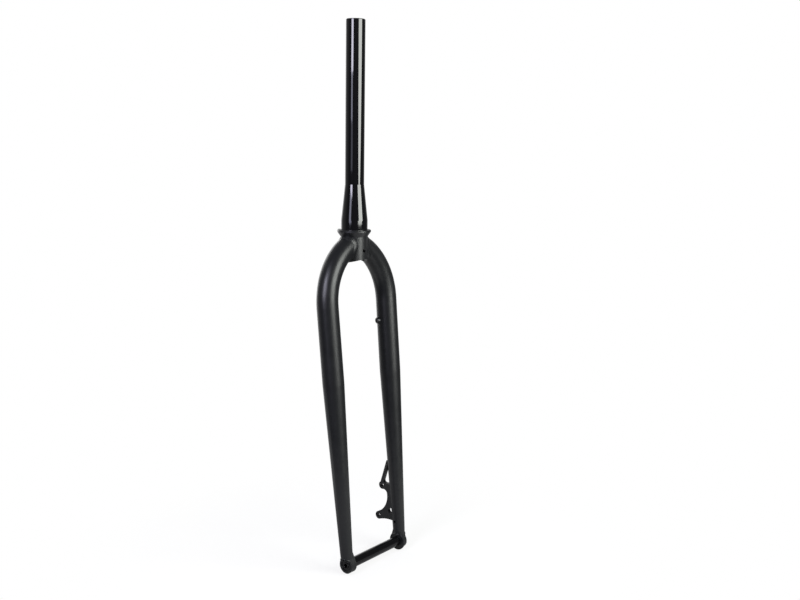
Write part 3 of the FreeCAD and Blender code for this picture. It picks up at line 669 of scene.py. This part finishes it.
class FORK_OT_axle(Operator):
    """Turns the axle with its head, hexagon socket, bore and thread, and cuts the left dropout's thread"""
    bl_idname = "fork.axle"
    bl_label = "Axle and its thread"

    def execute(self, context):
        sizes = in_millimetres(context.scene.fork_sizes)
        thread_start = AXLE_HIGH[0] - sizes.thread_length
        axle = add_piece("thru_axle_turned", self.surface(sizes, thread_start), "axle",
                         "black_anodised_aluminium")
        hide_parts("thru_axle")
        lead_in = 0.8
        clearance = 0.06
        points = threaded_sleeve(AXLE_MIDDLE, ACROSS, thread_start + lead_in, AXLE_HIGH[0],
                                 sizes.shank_radius + clearance, sizes.thread_depth, sizes.thread_pitch)
        add_painted("left_dropout_thread", points)
        return {"FINISHED"}

    def surface(self, sizes, thread_start):
        """Outline of half the axle carried round its line, with a hexagon socket and a helical thread.

        The outline starts in the head's face, which has a sunk ring, and ends in the socket. The radius
        of a hexagon at an angle is half its width over the cosine of the angle from its nearest flat.
        """
        head = sizes.head_radius
        shank = sizes.shank_radius
        bore = sizes.bore_radius
        edge = sizes.edge_break
        inner = sizes.ring_inner
        outer = sizes.ring_outer
        flat = sizes.socket_across / 2
        left = AXLE_HIGH[0]
        right = AXLE_LOW[0]
        under_head = right + sizes.head_height
        bottom = right + sizes.socket_depth
        sunk = right + sizes.ring_depth
        sixth = TURN / 6
        lead = flat / math.cos(sixth / 2) + edge / 2
        row_step = 0.1
        # Each row gives a place along the axle, a radius, and whether it is part of the hexagon.
        outline = [(right, lead, 0), (right, inner - edge / 2, 0), (sunk, inner, 0), (sunk, outer, 0),
                   (right, outer + edge / 2, 0), (right, head - edge, 0), (right + edge, head, 0),
                   (under_head, head, 0), (under_head, shank, 0), (thread_start, shank, 0)]
        threaded = [(x, shank, 0) for x in np.arange(thread_start + row_step, left - edge, row_step)]
        ending = [(left - edge, shank, 0), (left, shank - edge, 0), (left, bore, 0), (bottom, bore, 0),
                  (bottom, flat, 1), (right + edge / 2, flat, 1)]
        along, radius, hexed = np.array(outline + threaded + ending).T
        is_thread = (radius == shank) & (along > thread_start)
        along, around = np.meshgrid(along, round_angles(TURNED_SIDES), indexing="ij")
        hexagon = flat / np.cos((around + sixth / 2) % sixth - sixth / 2)
        radius = np.where(hexed[:, None] > 0, hexagon, radius[:, None])
        cutting = np.clip((along - thread_start) / sizes.thread_pitch, 0.0, 1.0)
        cut = sizes.thread_depth * groove(along, around, sizes.thread_pitch) * cutting
        radius = np.where(is_thread[:, None], radius - cut, radius)
        return about_line(AXLE_MIDDLE, ACROSS, along, radius, around)


class FORK_OT_stage(Operator):
    """Sets the floor, the surroundings, the soft lamps and the photograph's camera"""
    bl_idname = "fork.stage"
    bl_label = "Stage"

    def execute(self, context):
        scene = context.scene
        self.floor(scene)
        self.surroundings(scene)
        self.lights(scene)
        self.camera(scene)
        scene.view_settings.view_transform = "Standard"
        return {"FINISHED"}

    def floor(self, scene):
        """White paper floor that keeps the fork's shadow.

        The eye sees it white, mostly by its own glow, which fills it at its edge and leaves a fifth to
        the paper under the fork. In gloss the glow is dim under the fork and grows toward the edge. The
        paper throws less light back on the fork than the eye sees in it.
        """
        mesh = bpy.data.meshes.new("floor")
        signs = ((-1, -1), (1, -1), (1, 1), (-1, 1))
        corners = [(FLOOR_HALF * x, FLOOR_HALF * y, FLOOR_Z) for x, y in signs]
        mesh.from_pydata(corners, [], [(0, 1, 2, 3)])
        floor = bpy.data.objects.new("floor", mesh)
        scene.collection.objects.link(floor)
        material, tree, place = new_material("white_paper")
        seen = add_node(tree, "ShaderNodeLightPath").outputs
        away = add_node(tree, "ShaderNodeVectorMath", {0: place, 1: (0.0, 0.0, FLOOR_Z)},
                        operation="DISTANCE").outputs["Value"]
        near = add_node(tree, "ShaderNodeMapRange", {"Value": away, "From Min": 0.12, "From Max": 0.42,
                                                     "To Min": 0.25, "To Max": 0.8})
        gloss = add_node(tree, "ShaderNodeMath", {0: seen["Is Glossy Ray"], 1: near.outputs["Result"]},
                         operation="MULTIPLY")
        direct = add_node(tree, "ShaderNodeMath", {0: seen["Is Camera Ray"],
                                                   1: seen["Is Transmission Ray"]}, operation="MAXIMUM")
        either = add_node(tree, "ShaderNodeMath", {0: direct.outputs["Value"], 1: gloss.outputs["Value"]},
                          operation="MAXIMUM")
        share = add_node(tree, "ShaderNodeMapRange", {"Value": away, "From Min": 0.15, "From Max": 0.44,
                                                      "To Min": 0.8, "To Max": 1.0},
                         interpolation_type="SMOOTHSTEP")
        part = add_node(tree, "ShaderNodeMath", {0: either.outputs["Value"], 1: share.outputs["Result"]},
                        operation="MULTIPLY")
        white = scene.fork_colours.floor
        tone = add_node(tree, "ShaderNodeMix", {"Factor": seen["Is Camera Ray"], "A": shade(white, 0.3),
                                                "B": shade(white)}, data_type="RGBA")
        paper = add_node(tree, "ShaderNodeBsdfDiffuse", {"Color": tone.outputs["Result"]})
        glow = add_node(tree, "ShaderNodeEmission", {"Color": (1, 1, 1, 1), "Strength": 1.0})
        mixed = add_node(tree, "ShaderNodeMixShader", {0: part.outputs["Value"], 1: paper.outputs["BSDF"],
                                                       2: glow.outputs["Emission"]})
        close_material(tree, mixed.outputs["Shader"])
        mesh.materials.append(material)

    def surroundings(self, scene):
        """A pale wall behind the fork, dim to the sides of it and dark in front, as gloss shows it.

        The eye sees white all round, and a quarter of white fills in the matt light.
        """
        dark = 0.06
        fill = 0.25
        world = bpy.data.worlds.new("studio")
        world.use_nodes = True
        tree = world.node_tree
        tree.nodes.clear()
        way = add_node(tree, "ShaderNodeTexCoord").outputs["Generated"]
        toward = add_node(tree, "ShaderNodeVectorMath", {0: way, 1: WALL_WAY},
                          operation="DOT_PRODUCT").outputs["Value"]
        wall = add_node(tree, "ShaderNodeMapRange", {"Value": toward, "From Min": 0.70, "From Max": 0.90,
                                                     "To Min": dark, "To Max": 0.85},
                        interpolation_type="SMOOTHSTEP")
        side = add_node(tree, "ShaderNodeMapRange", {"Value": toward, "From Min": 0.05, "From Max": 0.72,
                                                     "To Min": dark, "To Max": 0.36})
        room = add_node(tree, "ShaderNodeMath", {0: wall.outputs["Result"], 1: side.outputs["Result"]},
                        operation="MAXIMUM")
        seen = add_node(tree, "ShaderNodeLightPath").outputs
        direct = add_node(tree, "ShaderNodeMath", {0: seen["Is Camera Ray"],
                                                   1: seen["Is Transmission Ray"]}, operation="MAXIMUM")
        other = add_node(tree, "ShaderNodeMix", {"Factor": seen["Is Glossy Ray"], 2: fill,
                                                 3: room.outputs["Value"]}, data_type="FLOAT")
        bright = add_node(tree, "ShaderNodeMath", {0: direct.outputs["Value"], 1: other.outputs[0]},
                          operation="MAXIMUM")
        back = add_node(tree, "ShaderNodeBackground", {"Color": (1, 1, 1, 1),
                                                       "Strength": bright.outputs["Value"]})
        add_node(tree, "ShaderNodeOutputWorld", {"Surface": back.outputs["Background"]})
        scene.world = world

    def lights(self, scene):
        """Upright lamps that face the steering axis.

        A large one stands at the fork's right and one in front of it, with strips under both, and a
        weaker one stands behind.
        """
        for name, (shape, (x, y), (low, high), width, power, code) in LAMPS.items():
            light = bpy.data.lights.new(name, "AREA")
            light.shape = shape
            light.size = width
            light.size_y = high - low
            light.energy = power
            light.color = linear(code)
            lamp = bpy.data.objects.new(name, light)
            scene.collection.objects.link(lamp)
            lamp.location = (x, y, (low + high) / 2)
            lamp.rotation_euler = Vector((x, y, 0.0)).to_track_quat("Z", "Y").to_euler()

    def camera(self, scene):
        """The camera looks at a point beside the steering axis, from its group's angles and distance."""
        shot = scene.fork_camera
        back = Vector((math.sin(shot.azimuth) * math.cos(shot.elevation),
                       -math.cos(shot.azimuth) * math.cos(shot.elevation), math.sin(shot.elevation)))
        level = Vector((math.cos(shot.azimuth), math.sin(shot.azimuth), 0.0))
        upright = back.cross(level)
        right = math.cos(shot.roll) * level + math.sin(shot.roll) * upright
        up = math.cos(shot.roll) * upright - math.sin(shot.roll) * level
        place = level * shot.aside + Vector((0.0, 0.0, -shot.drop)) + back * shot.distance
        data = bpy.data.cameras.new("camera")
        data.sensor_fit = "HORIZONTAL"
        data.sensor_width = SENSOR_WIDTH
        data.lens = shot.lens
        camera = bpy.data.objects.new("camera", data)
        scene.collection.objects.link(camera)
        turn = Matrix((right, up, back)).transposed().to_4x4()
        camera.matrix_world = Matrix.Translation(place) @ turn
        scene.camera = camera


class FORK_PT_panel(Panel):
    """Sidebar panel with the fork's steps, sizes, colours and camera"""
    bl_idname = "FORK_PT_panel"
    bl_label = "Fork"
    bl_space_type = "VIEW_3D"
    bl_region_type = "UI"
    bl_category = "Fork"

    def draw(self, context):
        for step in STEPS:
            self.layout.operator(step.bl_idname)
        for key, group in GROUPS.items():
            box = self.layout.box()
            for name in group.__annotations__:
                box.prop(getattr(context.scene, key), name)


GROUPS = {"fork_sizes": ForkSizes, "fork_colours": ForkColours, "fork_camera": ForkCamera}
STEPS = (FORK_OT_finishes, FORK_OT_crown_beads, FORK_OT_eye_beads, FORK_OT_plate_beads, FORK_OT_boss_braze,
         FORK_OT_axle, FORK_OT_stage)


def register():
    """Registers the classes, and gives the scene its sizes, colours and camera."""
    for item in (*GROUPS.values(), *STEPS, FORK_PT_panel):
        bpy.utils.register_class(item)
    for key, group in GROUPS.items():
        setattr(bpy.types.Scene, key, PointerProperty(type=group))


def unregister():
    """Takes back what register did, in the opposite order."""
    for key in GROUPS:
        delattr(bpy.types.Scene, key)
    for item in (FORK_PT_panel, *reversed(STEPS), *reversed(GROUPS.values())):
        bpy.utils.unregister_class(item)


def main():
    """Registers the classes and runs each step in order."""
    register()
    bpy.ops.fork.finishes()
    bpy.ops.fork.crown_beads()
    bpy.ops.fork.eye_beads()
    bpy.ops.fork.plate_beads()
    bpy.ops.fork.boss_braze()
    bpy.ops.fork.axle()
    bpy.ops.fork.stage()


if __name__ == "__main__":
    main()
